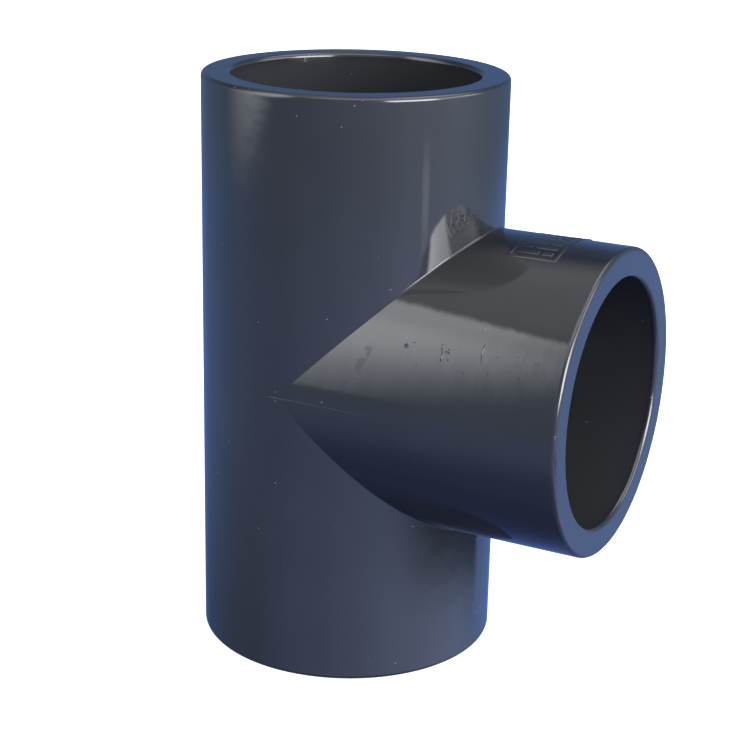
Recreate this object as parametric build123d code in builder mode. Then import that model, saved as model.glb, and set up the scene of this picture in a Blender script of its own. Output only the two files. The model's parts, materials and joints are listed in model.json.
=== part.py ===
"""Equal tee for solvent-welded PVC-U pressure pipe, nominal size 40 mm.

The run lies along Z and the branch along +X. The origin is where their axes cross,
and the tee stands on its lower mouth. The real tee is one moulding. It is held here
as four solids that meet face to face: the junction, where the three waterways join,
and the three pipe sockets that open from it.
"""

from build123d import *
import os

os.makedirs("parts", exist_ok=True)

# Driving dimensions, in millimetres
OUTER_RADIUS = 25.0  # barrels of the run and the branch
SOCKET_RADIUS = 20.1  # socket wall, a clearance fit on 40 mm pipe
WATERWAY_RADIUS = 17.5  # passage between the stops
STOP_DISTANCE = 22.0  # from the crossing of the axes to each pipe stop
RUN_REACH = 48.2  # from the crossing of the axes to each run mouth
BRANCH_REACH = 47.4  # from the crossing of the axes to the branch mouth

LEAD_IN_LENGTH = 1.25  # widened entry that starts the pipe
LEAD_IN_WIDENING = 0.4  # how much wider the entry is than the socket, on the radius
RIM_ROUNDING = 0.4  # outer edge of each mouth

MARK_HEIGHT = 0.2  # raised marks stand this far proud of a barrel
FRAME_CENTRE_X = 35.0  # framed pad on top of the branch
FRAME_LENGTH = 8.2
FRAME_WIDTH = 15.8
FRAME_RIM = 0.55
FRAME_ROOT = 22.5  # height at which the pad's solid starts, inside the branch wall
BRICK_ROWS = 5  # rows of plain bricks inside the frame, two bricks to a row
BRICK_PITCH = 2.7
BRICK_WIDTH = 1.0
BRICK_SPAN = 5.6  # from end to end of a row
BRICK_GAP = 0.7
BRICK_SHIFT = 0.9  # the gap is this far from the middle, to one side and the other by turns

TICK_COUNT = 5  # upright ticks on the run, above the branch
TICK_CENTRE_Y = -7.7
TICK_PITCH = 1.35
TICK_WIDTH = 0.45
TICK_LENGTH = 2.2
TICK_HEIGHT_Z = 29.1
TICK_ROOT = 21.5  # distance from the run's axis at which the ticks' solids start


def socket_profile(reach):
    """Half section of a socket: x is the radius, y is the distance along its axis."""
    with BuildSketch() as profile:
        with BuildLine():
            Polyline(
                (SOCKET_RADIUS, STOP_DISTANCE),
                (OUTER_RADIUS, STOP_DISTANCE),
                (OUTER_RADIUS, reach),
                (SOCKET_RADIUS + LEAD_IN_WIDENING, reach),
                (SOCKET_RADIUS, reach - LEAD_IN_LENGTH),
                close=True,
            )
        make_face()
        outer_corner = profile.vertices().group_by(Axis.X)[-1].sort_by(Axis.Y)[-1]
        fillet(outer_corner, RIM_ROUNDING)
    return profile.sketch


# Planes through the Y axis at 45 degrees, where a run socket meets the branch socket.
# The branch lies on the side that each plane's normal points to.
upper_mitre = Plane(origin=(0, 0, 0), x_dir=(0, 1, 0), z_dir=(1, 0, -1))
lower_mitre = Plane(origin=(0, 0, 0), x_dir=(0, 1, 0), z_dir=(1, 0, 1))

# The branch socket's profile stands on this plane: local x is radial, local y is along the branch.
branch_section = Plane(origin=(0, 0, 0), x_dir=(0, 0, 1), z_dir=(0, 1, 0))

# A framed pad of plain bricks, following the branch barrel
with BuildPart() as framed_pad:
    with BuildSketch(Plane.XY.offset(FRAME_ROOT)):
        with Locations((FRAME_CENTRE_X, 0)):
            Rectangle(FRAME_LENGTH, FRAME_WIDTH)
            Rectangle(FRAME_LENGTH - 2 * FRAME_RIM, FRAME_WIDTH - 2 * FRAME_RIM, mode=Mode.SUBTRACT)
        for row in range(BRICK_ROWS):
            y = (row - (BRICK_ROWS - 1) / 2) * BRICK_PITCH
            gap_x = BRICK_SHIFT * (-1) ** row
            for end in (-1, 1):
                length = BRICK_SPAN / 2 - BRICK_GAP / 2 - end * gap_x
                x = end * (BRICK_SPAN / 2 - length / 2)
                with Locations((FRAME_CENTRE_X + x, y)):
                    Rectangle(length, BRICK_WIDTH)
    extrude(amount=OUTER_RADIUS)
    with BuildSketch(Plane.YZ):
        Circle(OUTER_RADIUS + MARK_HEIGHT)
    extrude(amount=BRANCH_REACH, mode=Mode.INTERSECT)

# A row of plain upright ticks, following the run barrel above the branch
with BuildPart() as ticks:
    with BuildSketch(Plane.YZ.offset(TICK_ROOT)):
        with Locations((TICK_CENTRE_Y, TICK_HEIGHT_Z)):
            with GridLocations(TICK_PITCH, 0, TICK_COUNT, 1):
                Rectangle(TICK_WIDTH, TICK_LENGTH)
    extrude(amount=OUTER_RADIUS)
    with BuildSketch(Plane.XY):
        Circle(OUTER_RADIUS + MARK_HEIGHT)
    extrude(amount=RUN_REACH, mode=Mode.INTERSECT)

# Junction: the crossing barrels between the three pipe stops, with the waterways open
with BuildPart() as junction_body:
    Cylinder(OUTER_RADIUS, 2 * STOP_DISTANCE)
    with BuildSketch(Plane.YZ):
        Circle(OUTER_RADIUS)
    extrude(amount=STOP_DISTANCE)
    split(bisect_by=Plane.YZ.offset(STOP_DISTANCE), keep=Keep.BOTTOM)
    split(bisect_by=Plane.XY.offset(STOP_DISTANCE), keep=Keep.BOTTOM)
    split(bisect_by=Plane.XY.offset(-STOP_DISTANCE), keep=Keep.TOP)
    Cylinder(WATERWAY_RADIUS, 2 * STOP_DISTANCE, mode=Mode.SUBTRACT)
    with BuildSketch(Plane.YZ):
        Circle(WATERWAY_RADIUS)
    extrude(amount=STOP_DISTANCE, mode=Mode.SUBTRACT)
junction_body.part.label = "junction_body"
export_step(junction_body.part, "parts/junction_body.step")

# Upper run socket, with the ticks moulded on it
with BuildPart() as upper_run_socket:
    with BuildSketch(Plane.XZ):
        add(socket_profile(RUN_REACH))
    revolve(axis=Axis.Z)
    split(bisect_by=upper_mitre, keep=Keep.BOTTOM)
    add(ticks.part)
upper_run_socket.part.label = "upper_run_socket"
export_step(upper_run_socket.part, "parts/upper_run_socket.step")

# Lower run socket: a plain mirror image of the upper one
with BuildPart() as lower_run_socket:
    with BuildSketch(Plane.XZ):
        add(socket_profile(RUN_REACH))
    revolve(axis=Axis.Z)
    split(bisect_by=upper_mitre, keep=Keep.BOTTOM)
    mirror(about=Plane.XY, mode=Mode.REPLACE)
lower_run_socket.part.label = "lower_run_socket"
export_step(lower_run_socket.part, "parts/lower_run_socket.step")

# Branch socket, with the framed pad moulded on top
with BuildPart() as branch_socket:
    with BuildSketch(branch_section):
        add(socket_profile(BRANCH_REACH))
    revolve(axis=Axis.X)
    split(bisect_by=upper_mitre, keep=Keep.TOP)
    split(bisect_by=lower_mitre, keep=Keep.TOP)
    add(framed_pad.part)
branch_socket.part.label = "branch_socket"
export_step(branch_socket.part, "parts/branch_socket.step")
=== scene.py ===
"""Visual model of an equal tee for solvent-welded PVC-U pressure pipe.

The tee is one moulding in dark grey PVC-U. Its CAD holds it as four solids, and each
of them gets one detailed piece here: the junction body and the three sockets. The whole
moulding is laid out once as smooth patches in millimetres, with the true surface normal
at each point, and is then divided into the four closed pieces, so no seam shows.

Frame: the run lies along Z, the branch points along +X, and the origin is where the
axes cross.
"""

import json
import math

import bmesh
import bpy
import numpy as np
from mathutils import Matrix, Vector


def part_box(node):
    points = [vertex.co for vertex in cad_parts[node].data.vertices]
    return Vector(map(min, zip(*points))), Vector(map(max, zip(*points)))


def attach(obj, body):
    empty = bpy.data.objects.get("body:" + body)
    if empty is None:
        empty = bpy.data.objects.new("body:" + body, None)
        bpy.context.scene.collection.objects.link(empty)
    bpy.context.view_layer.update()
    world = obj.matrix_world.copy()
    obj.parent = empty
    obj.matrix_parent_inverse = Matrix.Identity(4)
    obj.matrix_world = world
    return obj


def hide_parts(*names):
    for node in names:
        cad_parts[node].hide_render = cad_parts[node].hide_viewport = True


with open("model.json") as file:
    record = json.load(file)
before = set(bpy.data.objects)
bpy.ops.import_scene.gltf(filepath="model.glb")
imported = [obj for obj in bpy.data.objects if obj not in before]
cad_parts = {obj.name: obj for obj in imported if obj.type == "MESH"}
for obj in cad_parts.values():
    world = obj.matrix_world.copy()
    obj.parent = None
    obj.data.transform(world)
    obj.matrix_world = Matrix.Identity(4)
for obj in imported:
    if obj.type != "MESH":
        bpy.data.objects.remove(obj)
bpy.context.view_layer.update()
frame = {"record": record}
MM = 0.001

# ---------------------------------------------------------------- sizes from the CAD
mounts = {m["name"]: m for m in frame["record"]["mounts"]}
socket_r = mounts["upper_socket"]["dims"]["r_mm"]
stop = abs(mounts["upper_socket"]["pos_m"][2]) / MM
run_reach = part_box("upper_run_socket")[1].z / MM
branch_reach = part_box("branch_socket")[1].x / MM
outer_r = -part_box("junction_body")[0].y / MM

# ---------------------------------------------------------------- other sizes, mm
WATERWAY_R = 17.5
CROTCH_FILLET = 0.3  # outside, where the branch meets the run
CROSSING_ROUNDING = 0.35  # inside, where the two waterways cross
STOP_ROUNDING = 0.3
ENTRY_DEPTH = 1.8  # a socket starts to widen this far inside its mouth
ENTRY_WIDENING = 0.1  # on the radius, at the mouth
ENTRY_ROUNDING = 1.5
LIP_ROUNDING = 0.75
SHOULDER = 1.0  # an outer wall's straight rings end this far short of its mouth
INNER_FINISH_AND_PAINTED_LIGHT = (2.0, 1.4)  # the inner wall's rougher finish, and its lighter colour that is painted light, end between these depths
SPLIT = stop + 0.5  # the pieces part just outside the pipe stops
COMMON = outer_r + 1.0  # beyond this every leg's outer wall has straight rings
INNER_RING = WATERWAY_R + 1.0  # beyond this every leg's waterway has straight rings

MARK_HEIGHT = 0.15  # the framed pad on the branch
TICK_HEIGHT = 0.04
MARK_EDGE = 0.1  # half the width of a raised mark's sloping side
FRAME_X, FRAME_LENGTH, FRAME_WIDTH, FRAME_RIM = 35.0, 8.2, 15.8, 0.55
BRICK_ROWS, BRICK_PITCH, BRICK_WIDTH = 7, 2.0, 0.95
BRICK_SPAN, BRICK_GAP, BRICK_SHIFT = 5.8, 0.6, 0.9
PAD_WORN_TO = 0.35  # share of its height that the pad keeps nearest the junction
PAD_WORN_SLANT, PAD_WORN_FROM, PAD_WHOLE_FROM = 0.3, 32.0, 38.0
TICK_Y, TICK_Z, TICK_LENGTH, TICK_WIDTH = -7.7, 29.1, 2.2, 0.45
TICK_PITCH, TICK_COUNT = 1.35, 5

PARTING_HEIGHT = -0.022  # below 0, so the parting line is a groove
PARTING_WIDTH = 0.2  # from its middle to its edge
PARTING_FADE = 14.0  # it fades out over this length before the branch mouth
PARTING_FAINTER = 0.75  # how much fainter it is round the back of the run
PARTING_TURN = 0.12  # sine of the angle over which it gets fainter there

# ---------------------------------------------------------------- the mesh's spacing
SLOPE_STEP = 1e-3  # mm each way, for a slope
LINE_GAP = 0.02  # mm between two lattice lines, at least
COLUMN_STEP, COLUMN_GAP = 2.5, 0.7  # degrees: plain columns, and their distance from others
RING_COUNT, RING_GAP = 16, 0.3  # plain rings on an outer wall, and their distance in mm
CREASE_RINGS = [1.2, 2.5, 4.5, 7, 10, 13, 16, 19, 22.5]  # mm past a crease at 0
WATERWAY_RINGS = 9
WALL_STEP = 2.5  # mm between rings on a socket's wall, at most
BAND_STEPS = 10  # across a rounded crease
ARC_STEP, ARC_LEAST = math.radians(24), 4  # a rounded corner's steps
SHARP_TURN = 0.6  # radians; outer corners sharper than this are rubbed


# ---------------------------------------------------------------- marks as a height
def smooth(v, a, b):
    """0 below a and 1 above b, with a smooth slope between them."""
    t = np.clip((v - a) / (b - a), 0.0, 1.0)
    return t * t * (3 - 2 * t)


def bar(u, centre, length):
    """1 inside a bar of that length, sloping to 0 at its ends."""
    d = length / 2 - np.abs(u - centre)
    return smooth(d, -MARK_EDGE, MARK_EDGE)


def spaced(count, pitch):
    """Places in an evenly spaced row about 0."""
    return [(i - (count - 1) / 2) * pitch for i in range(count)]


def bricks():
    """The bricks inside the frame, as (x, y, length)."""
    found = []
    for row, y in enumerate(spaced(BRICK_ROWS, BRICK_PITCH)):
        gap_x = BRICK_SHIFT * (-1) ** row
        for end in (-1, 1):
            length = BRICK_SPAN / 2 - BRICK_GAP / 2 - end * gap_x
            found.append((FRAME_X + end * (BRICK_SPAN / 2 - length / 2), y, length))
    return found


def branch_marks(x, y):
    """The framed pad on top of the branch: a rim with rows of bricks in it."""
    outer = bar(x, FRAME_X, FRAME_LENGTH) * bar(y, 0, FRAME_WIDTH)
    inner = bar(x, FRAME_X, FRAME_LENGTH - 2 * FRAME_RIM) * bar(
        y, 0, FRAME_WIDTH - 2 * FRAME_RIM
    )
    filled = sum(bar(y, v, BRICK_WIDTH) * bar(x, u, length) for u, v, length in bricks())
    whole = smooth(x - PAD_WORN_SLANT * y, PAD_WORN_FROM, PAD_WHOLE_FROM)
    return (outer - inner + filled) * (PAD_WORN_TO + (1 - PAD_WORN_TO) * whole)


def run_marks(z, y):
    """The row of ticks on the run, above the branch."""
    return sum(
        bar(y, TICK_Y + c, TICK_WIDTH) * bar(z, TICK_Z, TICK_LENGTH)
        for c in spaced(TICK_COUNT, TICK_PITCH)
    )


def parting(z):
    """The parting line, a fine groove round the tee in the plane z = 0."""
    return 1 - smooth(np.abs(z), 0.0, PARTING_WIDTH)


def slope_of(function, at):
    """The slope of a function of one coordinate."""
    return (function(at + SLOPE_STEP) - function(at - SLOPE_STEP)) / (2 * SLOPE_STEP)


def lines_at(edges):
    """Lattice lines at, before and after each edge of a mark."""
    return [e + d for e in edges for d in (-MARK_EDGE, 0.0, MARK_EDGE)]


def merged(values):
    """Sorted values, less any that crowd the one before them."""
    kept = []
    for v in sorted(values):
        if not kept or v - kept[-1] > LINE_GAP:
            kept.append(v)
    return kept


def clear_of(values, others, gap):
    """The values that keep their distance from all the others."""
    return [v for v in values if not others or min(abs(v - o) for o in others) > gap]


def columns(fixed):
    """Angles from 0 to 180 degrees: the fixed ones, and plain ones where there is room."""
    plain = [math.radians(COLUMN_STEP) * i for i in range(1, round(180 / COLUMN_STEP))]
    return np.array(sorted(fixed + clear_of(plain, fixed, math.radians(COLUMN_GAP))))


def edges_of(middles, width):
    """Both edges of each bar of that width."""
    return [m + h for m in middles for h in (-width / 2, width / 2)]


# which side of the frame, and how far inside its outline
frame_edges = [(s, k * FRAME_RIM) for s in (-1, 1) for k in (0, 1)]
mark_edges_y = (
    edges_of([TICK_Y + c for c in spaced(TICK_COUNT, TICK_PITCH)], TICK_WIDTH)
    + edges_of(spaced(BRICK_ROWS, BRICK_PITCH), BRICK_WIDTH)
    + [s * (FRAME_WIDTH / 2 - inside) for s, inside in frame_edges]
)
mark_edges_x = [FRAME_X + s * (FRAME_LENGTH / 2 - inside) for s, inside in frame_edges]
for brick_x, _, brick_length in bricks()[:4]:  # two rows, because the rest repeat them
    mark_edges_x += edges_of([brick_x], brick_length)
mark_edges_z = edges_of([TICK_Z], TICK_LENGTH)
parting_lines = [PARTING_WIDTH * k / 4 for k in range(1, 5)] + [2 * PARTING_WIDTH]

# Angles t from 0 to 180 degrees. A point on a leg's wall is at y = r cos t, and r sin t is
# its x on the run or its z on the branch, so a run column and a branch column of the
# same angle meet on the crease.
ends = [p / outer_r for p in parting_lines]
ends += [math.pi - e for e in ends] + [0.0, math.pi]
FRONT = columns([math.acos(y / outer_r) for y in merged(lines_at(mark_edges_y))] + ends)
BACK = columns(ends)


# ---------------------------------------------------------------- the moulding's patches
class Shell:
    """Patches of quads, each a grid of points with their normals and wear."""

    def __init__(self):
        self.co, self.no, self.edge, self.mark, self.inner, self.faces = [], [], [], [], [], []

    def grid(self, co, no, edge=None, mark=None, inner=None):
        """co and no are (rows, columns, 3) arrays. Faces look along the normals."""
        rows, cols = co.shape[:2]
        base = len(self.co)
        self.co += co.reshape(-1, 3).tolist()
        self.no += no.reshape(-1, 3).tolist()
        for kept, given in ((self.edge, edge), (self.mark, mark), (self.inner, inner)):
            kept.extend((np.zeros((rows, cols)) if given is None else given).ravel().tolist())
        i, j = rows // 2, cols // 2
        du = co[min(i + 1, rows - 1), j] - co[max(i - 1, 0), j]
        dv = co[i, min(j + 1, cols - 1)] - co[i, max(j - 1, 0)]
        outward = np.dot(np.cross(dv, du), no[i, j]) > 0
        for a in range(rows - 1):
            for b in range(cols - 1):
                p = base + a * cols + b
                quad = (p, p + 1, p + 1 + cols, p + cols)
                self.faces.append(quad if outward else quad[::-1])


def radial(angles, side):
    """Unit radial directions (a, y) of the half circle on that side, one per angle."""
    return side * np.sin(angles), np.cos(angles)


def place(leg, r, t, angles, side, nr, nt):
    """Points and normals of a leg's rings. leg is 'up', 'down' or 'branch'."""
    a, y = radial(angles, side)
    shape = np.broadcast(r, t, a).shape
    co, no = np.zeros(shape + (3,)), np.zeros(shape + (3,))
    if leg == "branch":
        co[..., 0], co[..., 1], co[..., 2] = t, r * y, r * a
        no[..., 0], no[..., 1], no[..., 2] = nt, nr * y, nr * a
    else:
        s = 1 if leg == "up" else -1
        co[..., 0], co[..., 1], co[..., 2] = r * a, r * y, s * t
        no[..., 0], no[..., 1], no[..., 2] = nr * a, nr * y, s * nt
    return co, no


def rounded(points):
    """A line of (r, t, rounding) corners with each corner rounded by a tangent arc.
    Returns rows of (r, t, nr, nt, edge), with the normal to the left of the line."""
    rows = []
    for i, (r, t, radius) in enumerate(points):
        here = Vector((r, t))
        if i in (0, len(points) - 1):
            other = Vector(points[1 if i == 0 else -2][:2])
            d = (other - here).normalized() * (1 if i == 0 else -1)
            rows.append((r, t, -d.y, d.x, 0.0))
            continue
        before = (here - Vector(points[i - 1][:2])).normalized()
        after = (Vector(points[i + 1][:2]) - here).normalized()
        turn = math.atan2(before.x * after.y - before.y * after.x, before.dot(after))
        side = 1 if turn > 0 else -1
        normal = Vector((-before.y, before.x))
        start = here - before * (radius * math.tan(abs(turn) / 2))
        centre = start + normal * (side * radius)
        steps = max(ARC_LEAST, 2 * math.ceil(abs(turn) / ARC_STEP))
        worn = 1.0 if side < 0 and abs(turn) > SHARP_TURN else 0.0
        for k in range(steps + 1):
            angle = turn * k / steps
            c, s = math.cos(angle), math.sin(angle)
            n = Vector((normal.x * c - normal.y * s, normal.x * s + normal.y * c))
            p = centre - n * (side * radius)
            rows.append((p.x, p.y, n.x, n.y, worn))
    return rows


def stations(rows):
    """The same rows, with more of them along the long straight stretches."""
    out = [rows[0]]
    for a, b in zip(rows, rows[1:]):
        gap = math.hypot(b[0] - a[0], b[1] - a[1])
        n = max(1, math.ceil(gap / WALL_STEP))
        straight = abs(a[2] - b[2]) + abs(a[3] - b[3]) < 1e-6
        if straight:
            # the rows between have no wear, so it fades out within one step of a corner
            for k in range(1, n):
                f = k / n
                out.append(tuple(p + (q - p) * f for p, q in zip(a[:4], b[:4])) + (0.0,))
        out.append(b)
    return out


def leg_profile(reach):
    """From the waterway, over the pipe stop, the socket, the entry and the end face."""
    return rounded(
        [
            (WATERWAY_R, INNER_RING, 0),
            (WATERWAY_R, stop, STOP_ROUNDING),
            (socket_r, stop, STOP_ROUNDING),
            (socket_r, reach - ENTRY_DEPTH, ENTRY_ROUNDING),
            (socket_r + ENTRY_WIDENING, reach, LIP_ROUNDING),
            (outer_r, reach, LIP_ROUNDING),
            (outer_r, reach - SHOULDER, 0),
        ]
    )


def spacing(reach, edges):
    """Heights of the straight rings on a leg's outer wall."""
    fixed = merged(lines_at(edges))
    top = reach - SHOULDER
    plain = [COMMON + (top - COMMON) * k / RING_COUNT for k in range(1, RING_COUNT)]
    return np.array(sorted([COMMON, top] + fixed + clear_of(plain, fixed, RING_GAP)))


def groove(co, no, depth):
    """The parting groove: its height at each point, and the slope along the surface."""
    z = co[..., 2]
    upward = (slope_of(parting, z) * depth)[..., None] * np.array([0, 0, 1.0])
    return parting(z) * depth, upward - (upward * no).sum(-1, keepdims=True) * no


def raised(co, no, height, slope):
    """Points moved along their normals by a height, and normals tilted to its slope."""
    tilted = no - slope
    tilted = tilted / np.linalg.norm(tilted, axis=-1, keepdims=True)
    return co + no * height[..., None], tilted


def outer_wall(shell, leg, angles, side, base, heights, marks):
    """A half of a leg's outer wall, from the crease at base(angle) to the last ring.
    marks gives the raised marks from the place along the leg and y, or is None."""
    start = base(angles)[None, :]
    share = np.array([0.0] + [p / COMMON for p in parting_lines + CREASE_RINGS] + [1.0])
    low = start + (COMMON - start) * share[:, None]
    high = np.repeat(heights[1:, None], len(angles), axis=1)
    t = np.vstack([low, high])
    co, no = place(leg, outer_r, t, angles, side, 1.0, 0.0)
    a, y = radial(angles, side)
    depth = PARTING_HEIGHT * (1 - smooth(t, heights[-1] - PARTING_FADE, heights[-1]))
    if side < 0 and leg != "branch":
        depth = depth * (1 - PARTING_FAINTER * smooth(-a, 0.0, PARTING_TURN))
    height, slope = groove(co, no, depth)
    mark = np.zeros(t.shape)
    if marks is not None:
        if leg == "branch":
            most, axis, around = MARK_HEIGHT, (1.0, 0, 0), np.stack([0 * a, a, -y], axis=-1)
        else:
            most, axis, around = TICK_HEIGHT, (0, 0, 1.0), np.stack([-y, a, 0 * a], axis=-1)
        around = around * np.sign(a + 1e-12)[:, None]  # unit, towards +y
        y_at = np.broadcast_to(outer_r * y, t.shape)
        mark = marks(t, y_at)
        dt = slope_of(lambda v: marks(v, y_at), t)
        dy = slope_of(lambda v: marks(t, v), y_at)
        # y changes by |a| for each unit of arc
        gradient = dt[..., None] * np.array(axis) + (dy * np.abs(a))[..., None] * around
        height = height + mark * most
        slope = slope + gradient * most
    shell.grid(*raised(co, no, height, slope), mark=mark)


def crossing(shell, z_side, radius, ball, facing):
    """The band round the crease of two equal cylinders, rounded by a rolling ball.
    facing is 1 for the outside crotch and -1 for the waterway's edge."""
    s, c = np.sin(FRONT), np.cos(FRONT)
    rho = radius + ball
    centre = np.stack([rho * s, rho * c, z_side * rho * s], axis=-1)
    to_run = np.stack([s, c, 0 * s], axis=-1)
    to_branch = np.stack([0 * s, c, z_side * s], axis=-1)
    opening = np.arccos(np.clip(c * c, -1, 1))
    rows_co, rows_no = [], []
    for k in range(BAND_STEPS + 1):
        f = k / BAND_STEPS
        with np.errstate(invalid="ignore", divide="ignore"):
            wa = np.where(opening > 1e-7, np.sin((1 - f) * opening) / np.sin(opening), 1 - f)
            wb = np.where(opening > 1e-7, np.sin(f * opening) / np.sin(opening), f)
        n = wa[:, None] * to_run + wb[:, None] * to_branch
        n = n / np.linalg.norm(n, axis=-1, keepdims=True)
        rows_co.append(centre - ball * n)
        rows_no.append(facing * n)
    co, no = np.array(rows_co), np.array(rows_no)
    if facing < 0:
        shell.grid(co, no, inner=np.ones(co.shape[:2]))
    else:
        shell.grid(*raised(co, no, *groove(co, no, PARTING_HEIGHT)))


def leg_inside(shell, leg, reach, side, angles, crossed):
    """Half of a leg's mouth, socket and waterway. crossed where the waterways meet."""
    rows = stations(leg_profile(reach))
    r, t, nr, nt, edge = (np.array(v)[:, None] for v in zip(*rows))
    co, no = place(leg, r, t, angles, side, nr, nt)
    deep = 1 - smooth(t, *(reach - depth for depth in INNER_FINISH_AND_PAINTED_LIGHT)) + 0 * co[..., 0]
    shell.grid(co, no, edge=np.broadcast_to(edge, co.shape[:2]), inner=deep)
    start = (WATERWAY_R + CROSSING_ROUNDING) * np.sin(angles) if crossed else 0 * angles
    share = np.linspace(0, 1, WATERWAY_RINGS)
    t = start[None, :] + (INNER_RING - start[None, :]) * share[:, None]
    co, no = place(leg, WATERWAY_R, t, angles, side, -1.0, 0.0)
    shell.grid(co, no, inner=np.ones(t.shape))


def moulding():
    """The whole tee as one closed shell."""
    shell = Shell()
    run_rings = spacing(run_reach, mark_edges_z)
    branch_rings = spacing(branch_reach, mark_edges_x)

    def crease(angles):
        return (outer_r + CROTCH_FILLET) * np.sin(angles)

    def level(angles):
        return 0 * angles

    for leg, z_side, marks in (("up", 1, run_marks), ("down", -1, None)):
        outer_wall(shell, leg, FRONT, 1, crease, run_rings, marks)
        outer_wall(shell, leg, BACK, -1, level, run_rings, None)
        crossing(shell, z_side, outer_r, CROTCH_FILLET, 1)
        crossing(shell, z_side, WATERWAY_R, CROSSING_ROUNDING, -1)
    for side, marks in ((1, branch_marks), (-1, None)):
        outer_wall(shell, "branch", FRONT, side, crease, branch_rings, marks)
    for leg, reach in (("up", run_reach), ("down", run_reach), ("branch", branch_reach)):
        for side in (1, -1):
            crossed = leg == "branch" or side > 0
            leg_inside(shell, leg, reach, side, FRONT if crossed else BACK, crossed)
    return shell


WELD, LEAST_EDGE = 3e-7, 1e-7  # metres: points this near are one, and shorter edges go


def shell_mesh(shell):
    """The shell as one welded bmesh, in metres, with its normals kept as an attribute."""
    mesh = bpy.data.meshes.new("moulding")
    mesh.from_pydata([[v * MM for v in p] for p in shell.co], [], shell.faces)
    bm = bmesh.new()
    bm.from_mesh(mesh)
    bpy.data.meshes.remove(mesh)
    normal = bm.verts.layers.float_vector.new("surface_normal")
    edge = bm.verts.layers.float.new("worn_edge")
    mark = bm.verts.layers.float.new("raised_mark")
    inner = bm.verts.layers.float.new("inner_wall")
    for v, n, e, m, i in zip(bm.verts, shell.no, shell.edge, shell.mark, shell.inner):
        v[normal], v[edge], v[mark], v[inner] = n, e, m, i
    bmesh.ops.remove_doubles(bm, verts=bm.verts, dist=WELD)
    bmesh.ops.dissolve_degenerate(bm, edges=bm.edges, dist=LEAST_EDGE)
    bmesh.ops.recalc_face_normals(bm, faces=bm.faces)
    return bm


def piece(whole, name, planes, material):
    """A closed piece of the moulding: what lies on the near side of every plane."""
    bm = whole.copy()
    cut = bm.faces.layers.int.new("cut")
    normal = bm.verts.layers.float_vector["surface_normal"]
    for point, direction in planes:
        bmesh.ops.bisect_plane(
            bm,
            geom=bm.verts[:] + bm.edges[:] + bm.faces[:],
            dist=1e-8,
            plane_co=Vector(point) * MM,
            plane_no=Vector(direction),
            clear_outer=True,
        )
        rim = [e for e in bm.edges if e.is_boundary]
        filled = bmesh.ops.triangle_fill(
            bm, use_beauty=True, use_dissolve=False, edges=rim, normal=Vector(direction)
        )
        for f in filled["geom"]:
            if isinstance(f, bmesh.types.BMFace):
                f[cut] = 1
    bmesh.ops.recalc_face_normals(bm, faces=bm.faces)
    normals = [
        f.normal.copy() if f[cut] else Vector(loop.vert[normal]).normalized()
        for f in bm.faces
        for loop in f.loops
    ]
    loose = [e for e in bm.edges if len(e.link_faces) != 2]
    print(f"{name}: {len(bm.faces)} faces, {len(loose)} edges not shared by two faces")
    bm.verts.layers.float_vector.remove(normal)
    mesh = bpy.data.meshes.new(name)
    bm.to_mesh(mesh)
    bm.free()
    for polygon in mesh.polygons:
        polygon.use_smooth = True
    mesh.normals_split_custom_set(normals)
    mesh.materials.append(material)
    obj = bpy.data.objects.new(name, mesh)
    bpy.context.scene.collection.objects.link(obj)
    return obj


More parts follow.
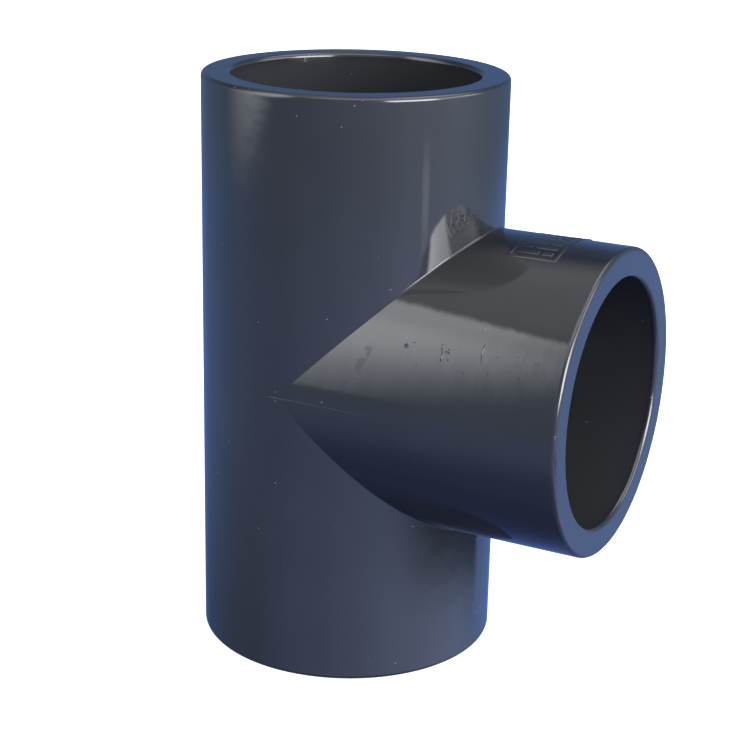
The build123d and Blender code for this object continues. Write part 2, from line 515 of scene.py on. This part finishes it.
# ---------------------------------------------------------------- node helpers
class Graph:
    """Writes a node tree as arithmetic on its sockets."""

    def __init__(self, tree):
        self.tree = tree
        tree.nodes.clear()

    def node(self, kind, inputs=None, **settings):
        n = self.tree.nodes.new(kind)
        for key, value in settings.items():
            setattr(n, key, value)
        for key, value in (inputs or {}).items():
            self.feed(n.inputs[key], value)
        return n

    def feed(self, socket, value):
        if isinstance(value, bpy.types.NodeSocket):
            self.tree.links.new(value, socket)
        else:
            socket.default_value = value

    def math(self, operation, *values):
        return self.node("ShaderNodeMath", dict(enumerate(values)), operation=operation).outputs[0]

    def vector(self, operation, a, b):
        """Arithmetic on vectors or colours. b is a number for SCALE."""
        second = "Scale" if operation == "SCALE" else 1
        n = self.node("ShaderNodeVectorMath", {0: a, second: b}, operation=operation)
        return n.outputs["Value" if operation == "DISTANCE" else "Vector"]

    def add(self, *v):
        total = v[0]
        for other in v[1:]:
            total = self.math("ADD", total, other)
        return total

    def times(self, *v):
        total = v[0]
        for other in v[1:]:
            total = self.math("MULTIPLY", total, other)
        return total

    def ramp(self, value, a, b, low=0.0, high=1.0, kind="SMOOTHSTEP"):
        """low below a and high above b."""
        keys = ("Value", "From Min", "From Max", "To Min", "To Max")
        inputs = dict(zip(keys, (value, a, b, low, high)))
        return self.node("ShaderNodeMapRange", inputs, interpolation_type=kind).outputs["Result"]

    def hat(self, value, a, b, c, d):
        """0, rising from a to b, 1, falling from c to d, 0."""
        return self.times(self.ramp(value, a, b), self.ramp(value, c, d, 1.0, 0.0))

    def near(self, value, full, none):
        """1 where the value is within full of 0, and 0 where it is beyond none."""
        return self.ramp(self.math("ABSOLUTE", value), full, none, 1.0, 0.0)

    def mix(self, factor, a, b):
        return self.node("ShaderNodeMix", {0: factor, 6: a, 7: b}, data_type="RGBA").outputs[2]

    def blend(self, factor, first, second, output):
        """Mixes two shaders and sends the result to an output node of that kind."""
        pick = self.node("ShaderNodeMixShader", {0: factor, 1: first, 2: second})
        self.node(output, {"Surface": pick.outputs[0]})

    def attribute(self, name):
        return self.node("ShaderNodeAttribute", attribute_name=name).outputs["Fac"]

    def noise(self, vector, scale, detail=2.0, roughness=0.5):
        inputs = {"Vector": vector, "Scale": scale, "Detail": detail, "Roughness": roughness}
        return self.node("ShaderNodeTexNoise", inputs).outputs[0]

    def dots(self, vector, scale, channel, at):
        """Distance from the middle of the nearest cell, and 1 in the cells whose random
        colour is beyond at, a pair of values, in that channel."""
        cells = self.node("ShaderNodeTexVoronoi", {"Vector": vector, "Scale": scale}, feature="F1")
        colour = self.node("ShaderNodeSeparateColor", {"Color": cells.outputs["Color"]})
        return cells.outputs["Distance"], self.ramp(colour.outputs[channel], *at)


# ---------------------------------------------------------------- materials
# Colours are linear.
BODY = ((0.0108, 0.0113, 0.0126, 1), (0.0130, 0.0135, 0.0150, 1))  # it drifts between these
# lighter than the body: painted light, for the light that reaches into the sockets
INNER_WALL_PAINTED_LIGHT = (0.0190, 0.0198, 0.0214, 1)
DUST = (0.14, 0.145, 0.15, 1)
RUBBED = (0.16, 0.17, 0.18, 1)
# painted shade in the pit's hollow
PIT_PAINTED_SHADE = (0.006, 0.006, 0.007, 1)

# Wear along the front of the branch, in mm. A band rises from its first number to its
# second, and falls from its third to its fourth.
KNOCKS_Z, KNOCKS_X = (8.2, 9.2, 11.2, 12.6), (21.5, 23.5, 42.0, 44.5)
SCRATCHES = ((27.3, 10.4, 12.2), (33.8, 11.0, 13.0))  # x, and from z to z
SCRATCH_WIDTH, SCRATCH_END = (0.04, 0.12), 0.3
SCRATCH_BEND, SCRATCH_BENDING = 0.12, 2.2  # how far it bends, and radians to the mm
PIT, PIT_R = (21.4, -22.3, 11.35), (0.2, 0.42)
SMUDGE_X, SMUDGE_SLANT, SMUDGE_WIDTH = 11.8, 0.33, (0.35, 1.1)  # x at z = 0
SMUDGE_Z = (3.0, 4.5, 9.5, 11.0)


def in_metres(values):
    return [v * MM for v in values]


def moulded_pvc():
    """Glossy dark grey PVC-U with light handling marks. Its inside walls are lighter, which is
    painted light, and its pit is darkened with painted shade.
    """
    material = bpy.data.materials.new("pvc_grey")
    material.use_nodes = True
    g = Graph(material.node_tree)
    where = g.node("ShaderNodeTexCoord").outputs["Object"]
    worn, mark, inner = (g.attribute(n) for n in ("worn_edge", "raised_mark", "inner_wall"))

    body = g.mix(g.ramp(g.noise(where, 45.0, 3.0), 0.35, 0.65), *BODY)
    # the inside walls are lighter: painted light, for the light that reaches into the sockets
    color = g.mix(inner, body, INNER_WALL_PAINTED_LIGHT)

    # small pale specks of dust
    distance, chosen = g.dots(where, 600.0, 0, (0.90, 0.91))
    speck = g.times(g.ramp(distance, 0.04, 0.08, 1.0, 0.0), chosen)
    color = g.mix(speck, color, DUST)

    # the rims are rubbed
    rubbed = g.times(worn, g.ramp(g.noise(where, 700.0, 4.0, 0.7), 0.66, 0.76), 0.5)
    color = g.mix(rubbed, color, RUBBED)

    # knocks along the front of the branch
    x, y, z = g.node("ShaderNodeSeparateXYZ", {"Vector": where}).outputs
    front = g.math("LESS_THAN", y, 0.0)
    knocked = g.times(front, g.hat(z, *in_metres(KNOCKS_Z)), g.hat(x, *in_metres(KNOCKS_X)))
    shaking = g.node("ShaderNodeTexNoise", {"Vector": where, "Scale": 1500.0}).outputs["Color"]
    shaken = g.vector("ADD", where, g.vector("SCALE", shaking, 1.2 * MM))
    distance, chosen = g.dots(shaken, 900.0, 1, (0.50, 0.54))
    knock = g.times(g.ramp(distance, 0.08, 0.20, 1.0, 0.0), chosen, knocked)

    # two short scratches, and a pit darkened with painted shade
    bend = g.times(g.math("SINE", g.times(z, SCRATCH_BENDING / MM)), SCRATCH_BEND * MM)
    scratches = []
    for at, low, high in SCRATCHES:
        span = in_metres((low - SCRATCH_END, low, high, high + SCRATCH_END))
        across = g.near(g.add(x, bend, -at * MM), *in_metres(SCRATCH_WIDTH))
        scratches.append(g.times(across, g.hat(z, *span), front))
    scratch = g.add(*scratches)
    pit = g.ramp(g.vector("DISTANCE", where, in_metres(PIT)), *in_metres(PIT_R), 1.0, 0.0)
    # the pit's colour is painted shade in its hollow
    color = g.mix(pit, color, PIT_PAINTED_SHADE)

    # a dull smear near the junction
    along = g.add(x, g.times(z, -SMUDGE_SLANT), -SMUDGE_X * MM)
    smudge = g.times(
        g.near(along, *in_metres(SMUDGE_WIDTH)),
        g.hat(z, *in_metres(SMUDGE_Z)),
        g.ramp(g.noise(where, 700.0, 3.0, 0.6), 0.36, 0.56, 0.1, 1.0),
        front,
    )

    rough = g.add(
        0.055,
        g.times(g.ramp(g.noise(where, 120.0, 4.0, 0.6), 0.4, 0.75), 0.03),
        g.times(mark, 0.2),
        g.times(smudge, 0.38),
        g.times(pit, 0.5),
        g.times(inner, 0.06),
        g.times(worn, 0.08),
        g.times(speck, 0.5),
        g.times(rubbed, 0.5),
    )

    peel, grain = g.noise(where, 260.0), g.noise(where, 900.0)
    surface = g.add(g.times(peel, 0.4), g.times(grain, 0.03), g.times(speck, 0.6))
    bump = g.node(
        "ShaderNodeBump", {"Strength": 0.06, "Distance": 0.6 * MM, "Height": surface}
    )
    damage = g.add(g.times(scratch, 0.7), g.times(knock, -1.2), g.times(pit, -0.3))
    dents = g.node(
        "ShaderNodeBump",
        {
            "Strength": 0.5,
            "Distance": 0.3 * MM,
            "Height": damage,
            "Normal": bump.outputs["Normal"],
        },
    )
    shader = g.node(
        "ShaderNodeBsdfPrincipled",
        {
            "Base Color": color,
            "Roughness": rough,
            "IOR": 1.53,
            "Normal": dents.outputs["Normal"],
        },
    )
    g.node("ShaderNodeOutputMaterial", {"Surface": shader.outputs["BSDF"]})
    return material


def floor_material():
    """A pale, softly lit floor that is clear from below."""
    material = bpy.data.materials.new("studio_floor")
    material.use_nodes = True
    g = Graph(material.node_tree)
    glow = g.node("ShaderNodeEmission", {"Color": (0.98, 0.99, 1.0, 1), "Strength": 0.78})
    paint = g.node("ShaderNodeBsdfDiffuse", {"Color": (0.55, 0.55, 0.56, 1)})
    both = g.node("ShaderNodeAddShader", {0: glow.outputs[0], 1: paint.outputs[0]})
    clear = g.node("ShaderNodeBsdfTransparent")
    below = g.node("ShaderNodeNewGeometry").outputs["Backfacing"]
    g.blend(below, both.outputs[0], clear.outputs[0], "ShaderNodeOutputMaterial")
    return material


# ---------------------------------------------------------------- pieces
# A plane is a point in mm and the direction of the side that is cut away.
up = ((0, 0, SPLIT), (0, 0, 1))
down = ((0, 0, -SPLIT), (0, 0, -1))
out = ((SPLIT, 0, 0), (1, 0, 0))
upper_mitre = ((0, 0, 0), (1, 0, -1))
lower_mitre = ((0, 0, 0), (1, 0, 1))


def flipped(plane):
    return plane[0], tuple(-v for v in plane[1])


branch_planes = (flipped(out), flipped(upper_mitre), flipped(lower_mitre))
whole = shell_mesh(moulding())
pvc = moulded_pvc()
for name, node, planes in (
    ("tee_junction_body", "junction_body", (up, down, out)),
    ("tee_upper_run_socket", "upper_run_socket", (flipped(up), upper_mitre)),
    ("tee_lower_run_socket", "lower_run_socket", (flipped(down), lower_mitre)),
    ("tee_branch_socket", "branch_socket", branch_planes),
):
    made = piece(whole, name, planes, pvc)
    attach(made, "root")
    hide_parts(node)
whole.free()

# ---------------------------------------------------------------- floor
FLOOR_HALF = 6.0
floor_mesh = bpy.data.meshes.new("studio_floor")
corners = [(-1, -1), (1, -1), (1, 1), (-1, 1)]
floor_mesh.from_pydata(
    [(FLOOR_HALF * x, FLOOR_HALF * y, -run_reach * MM) for x, y in corners], [], [(0, 1, 2, 3)]
)
floor_mesh.materials.append(floor_material())
floor = bpy.data.objects.new("studio_floor", floor_mesh)
bpy.context.scene.collection.objects.link(floor)
floor.visible_glossy = False
floor.visible_diffuse = False
floor.visible_shadow = False

# ---------------------------------------------------------------- studio light
# The world is the room as reflections and diffuse light see it. The camera sees white.
# Azimuth is measured from +X towards +Y and elevation from the horizon, in degrees.
# A softbox is an upright rectangle that faces the object from that azimuth. Its edges
# are u across and v up, where 1 is 45 degrees off its middle, each with its softness.
SOFTBOXES = {
    "main": {
        "azimuth": -165,
        "left": (0.22, 0.38),
        "right": (1.20, 0.30),
        "bottom": (-0.19, 0.05),
        "top": (1.67, 0.07),
        "bulge": (0.27, 0.75),  # the right edge draws in above and below this v
        "dimmer": (0.24, 0.2, 0.9),  # how much dimmer it is at its foot, from v to v
        "crown": (0.28, 1.05, 1.45),  # and how much dimmer at its top
        "light": (4.6, 4.65, 4.75),
    },
    "lamp": {
        "azimuth": -20,
        "left": (-0.34, 0.05),
        "right": (0.36, 0.05),
        "bottom": (0.03, 0.05),
        "top": (0.60, 0.08),
        "light": (16.5, 16.5, 17.0),
    },
    "window": {
        "azimuth": 20,
        "left": (-0.36, 0.06),
        "right": (0.38, 0.16),
        "bottom": (0.12, 0.10),
        "top": (0.62, 0.14),
        "light": (3.7, 3.75, 3.9),
    },
    "slit": {
        "azimuth": -8,
        "left": (-0.045, 0.02),
        "right": (0.045, 0.02),
        "bottom": (-0.255, 0.02),
        "top": (-0.205, 0.02),
        "light": (0.9, 0.9, 0.9),
    },
}
# The room round the horizon, by azimuth. The table shows it as it is here, and the walls
# less blue. The first draft was read off a solver's map of the light and off brightness at
# points of the photo, and nine of the 15 were then changed or added. The main
# softbox and the lamp began from the same map.
SURROUNDINGS = [
    (-180, (0.26, 0.44, 0.90)),
    (-150, (0.40, 0.54, 0.95)),
    (-117, (0.34, 0.47, 0.88)),
    (-81, (0.44, 0.60, 1.15)),
    (-45, (0.64, 0.84, 1.50)),
    (-21, (0.90, 1.16, 2.02)),
    (15, (0.98, 1.25, 2.18)),
    (39, (0.74, 1.02, 1.80)),
    (51, (0.50, 0.75, 1.40)),
    (70, (0.27, 0.45, 1.00)),
    (90, (0.14, 0.28, 0.75)),
    (105, (0.11, 0.24, 0.75)),
    (120, (0.10, 0.19, 0.50)),
    (156, (0.17, 0.28, 0.65)),
    (180, (0.26, 0.44, 0.90)),
]
WALL_TINT = (1.0, 0.92, 0.70)
WALL_TOP = (6.0, 40.0, 0.4)  # the walls dim between these elevations, to this share
CORNER, CORNER_LIGHT = (15.0, 50.0, 95.0, 110.0), 0.75  # azimuths, and how light it is there
UNDERNEATH = (0.13, 0.20, 0.60)  # the table right under the object
UNDERNEATH_DARK = (-80.0, -66.0, 0.3)  # darkest at and below the first elevation
TABLE_NEAR = (-50.0, -28.0)  # from underneath to the table further off
# the object's own shadows on the table: one to its right, one softer to its left
RIGHT_SHADOW = (-26.9, -23.4, -22.8, -21.0), (-50.0, 15.0, 58.0, 67.0)  # elevations, azimuths
LEFT_SHADOW = (-28.0, -18.0), (105.0, 150.0)
RIGHT_LIGHT, LEFT_LIGHT = 0.12, 0.5  # how light it is in each
# the table gives way to the walls between these elevations, more abruptly at its sides
TABLE_EDGE, SIDE_NARROWER, WALL_FOOT = -20.0, 6.5, -10.0
SIDES = (45.0, 80.0), (-150.0, -110.0)
CEILING, CEILING_FROM = (0.90, 0.93, 0.95), (38.0, 62.0)
CEILING_PANEL = (2.1, 2.1, 2.2)
PANEL_AT = (30.0, 58.0, 72.0, 78.0), (-125.0, -95.0, 70.0, 100.0)  # elevations, azimuths
BEHIND = 0.01  # a softbox isn't seen from directions nearer than this to its own plane


def softbox(g, xyz, box):
    """How much of a softbox a direction sees, from 0 to 1."""
    azimuth = math.radians(box["azimuth"])
    c, s = math.cos(azimuth), math.sin(azimuth)
    depth = g.add(g.times(xyz[0], c), g.times(xyz[1], s))
    in_front = g.math("GREATER_THAN", depth, BEHIND)
    depth = g.math("MAXIMUM", depth, BEHIND)
    u = g.math("DIVIDE", g.add(g.times(xyz[0], -s), g.times(xyz[1], c)), depth)
    v = g.math("DIVIDE", xyz[2], depth)
    u_right = u
    if "bulge" in box:
        amount, middle = box["bulge"]
        off = g.math("SUBTRACT", v, middle)
        u_right = g.add(u, g.times(off, off, amount))
    sides = []
    for value, side, before, beyond in (
        (u, "left", 0.0, 1.0),
        (u_right, "right", 1.0, 0.0),
        (v, "bottom", 0.0, 1.0),
        (v, "top", 1.0, 0.0),
    ):
        at, soft = box[side]
        sides.append(g.ramp(value, at - soft, at + soft, before, beyond))
    shape = g.times(*sides, in_front)
    if "dimmer" in box:
        amount, low, high = box["dimmer"]
        shape = g.times(shape, g.ramp(v, low, high, 1.0 - amount, 1.0))
    if "crown" in box:
        amount, low, high = box["crown"]
        shape = g.times(shape, g.ramp(v, low, high, 1.0, 1.0 - amount))
    return shape


def horizon(g, azimuth):
    """The colour of the surroundings at an azimuth."""
    ramp = g.node("ShaderNodeValToRGB", {"Fac": g.ramp(azimuth, -180.0, 180.0, kind="LINEAR")})
    elements = ramp.color_ramp.elements
    for at, _ in SURROUNDINGS[1:-1]:
        elements.new((at + 180) / 360)
    for element, (_, color) in zip(elements, SURROUNDINGS):
        element.color = (*color, 1)
    return ramp.outputs["Color"]


def studio():
    """The world's light, by direction."""
    world = bpy.data.worlds.new("studio")
    bpy.context.scene.world = world
    world.use_nodes = True
    g = Graph(world.node_tree)
    direction = g.node("ShaderNodeTexCoord").outputs["Generated"]
    xyz = g.node("ShaderNodeSeparateXYZ", {"Vector": direction}).outputs
    azimuth = g.math("DEGREES", g.math("ARCTAN2", xyz[1], xyz[0]))
    elevation = g.math("DEGREES", g.math("ARCSINE", xyz[2]))
    around = horizon(g, azimuth)

    def dimmed(color, factor, least):
        """The colour, down to that share of it as the factor goes from 0 to 1."""
        return g.vector("SCALE", color, g.ramp(factor, 0.0, 1.0, 1.0, least, kind="LINEAR"))

    low, high, share = WALL_TOP
    walls = g.vector("MULTIPLY", around, WALL_TINT)
    walls = g.vector("SCALE", walls, g.ramp(elevation, low, high, 1.0, share))
    walls = dimmed(walls, g.hat(azimuth, *CORNER), CORNER_LIGHT)

    low, high, share = UNDERNEATH_DARK
    under = g.vector("SCALE", UNDERNEATH, g.ramp(elevation, low, high, share, 1.0))
    table = g.mix(g.ramp(elevation, *TABLE_NEAR), under, around)
    right = g.times(g.hat(elevation, *RIGHT_SHADOW[0]), g.hat(azimuth, *RIGHT_SHADOW[1]))
    left = g.times(
        g.ramp(elevation, *LEFT_SHADOW[0], 1.0, 0.0),
        g.ramp(g.math("ABSOLUTE", azimuth), *LEFT_SHADOW[1]),
    )
    table = dimmed(dimmed(table, right, RIGHT_LIGHT), left, LEFT_LIGHT)

    aside = g.add(g.ramp(azimuth, *SIDES[0]), g.ramp(azimuth, *SIDES[1], 1.0, 0.0))
    edge = g.add(TABLE_EDGE, g.times(aside, SIDE_NARROWER))
    total = g.mix(g.ramp(elevation, edge, WALL_FOOT), table, walls)
    total = g.mix(g.ramp(elevation, *CEILING_FROM), total, (*CEILING, 1))
    panel = g.times(g.hat(elevation, *PANEL_AT[0]), g.hat(azimuth, *PANEL_AT[1]))
    total = g.vector("ADD", total, g.vector("SCALE", CEILING_PANEL, panel))
    for box in SOFTBOXES.values():
        light = g.vector("SCALE", box["light"], softbox(g, xyz, box))
        total = g.vector("ADD", total, light)
    lit = g.node("ShaderNodeBackground", {"Color": total, "Strength": 1.0})
    white = g.node("ShaderNodeBackground", {"Color": (1, 1, 1, 1), "Strength": 1.0})
    seen = g.node("ShaderNodeLightPath").outputs["Is Camera Ray"]
    g.blend(seen, lit.outputs[0], white.outputs[0], "ShaderNodeOutputWorld")


studio()
scene = bpy.context.scene
scene.view_settings.view_transform = "Standard"
scene.view_settings.look = "None"

# ---------------------------------------------------------------- camera
AZIMUTH, ELEVATION, ROLL = (math.radians(v) for v in (27.23, 18.57, 1.27))
DISTANCE = 0.3022
AIM_RIGHT, AIM_DOWN = 0.0041, 0.0032  # what it looks at, from the origin
LENS, SENSOR = 85.47, 36.0
right = Vector((math.cos(AZIMUTH), math.sin(AZIMUTH), 0))
back = Vector(
    (
        math.sin(AZIMUTH) * math.cos(ELEVATION),
        -math.cos(AZIMUTH) * math.cos(ELEVATION),
        math.sin(ELEVATION),
    )
)
upward = back.cross(right)
aim = right * AIM_RIGHT - upward * AIM_DOWN
rolled_right = right * math.cos(ROLL) + upward * math.sin(ROLL)
rolled_up = upward * math.cos(ROLL) - right * math.sin(ROLL)
turned = Matrix((rolled_right, rolled_up, back)).transposed().to_4x4()
camera = bpy.data.objects.new("camera", bpy.data.cameras.new("camera"))
scene.collection.objects.link(camera)
camera.matrix_world = Matrix.Translation(aim + back * DISTANCE) @ turned
camera.data.sensor_width = SENSOR
camera.data.lens = LENS
camera.data.clip_start, camera.data.clip_end = 0.01, 50.0
scene.camera = camera
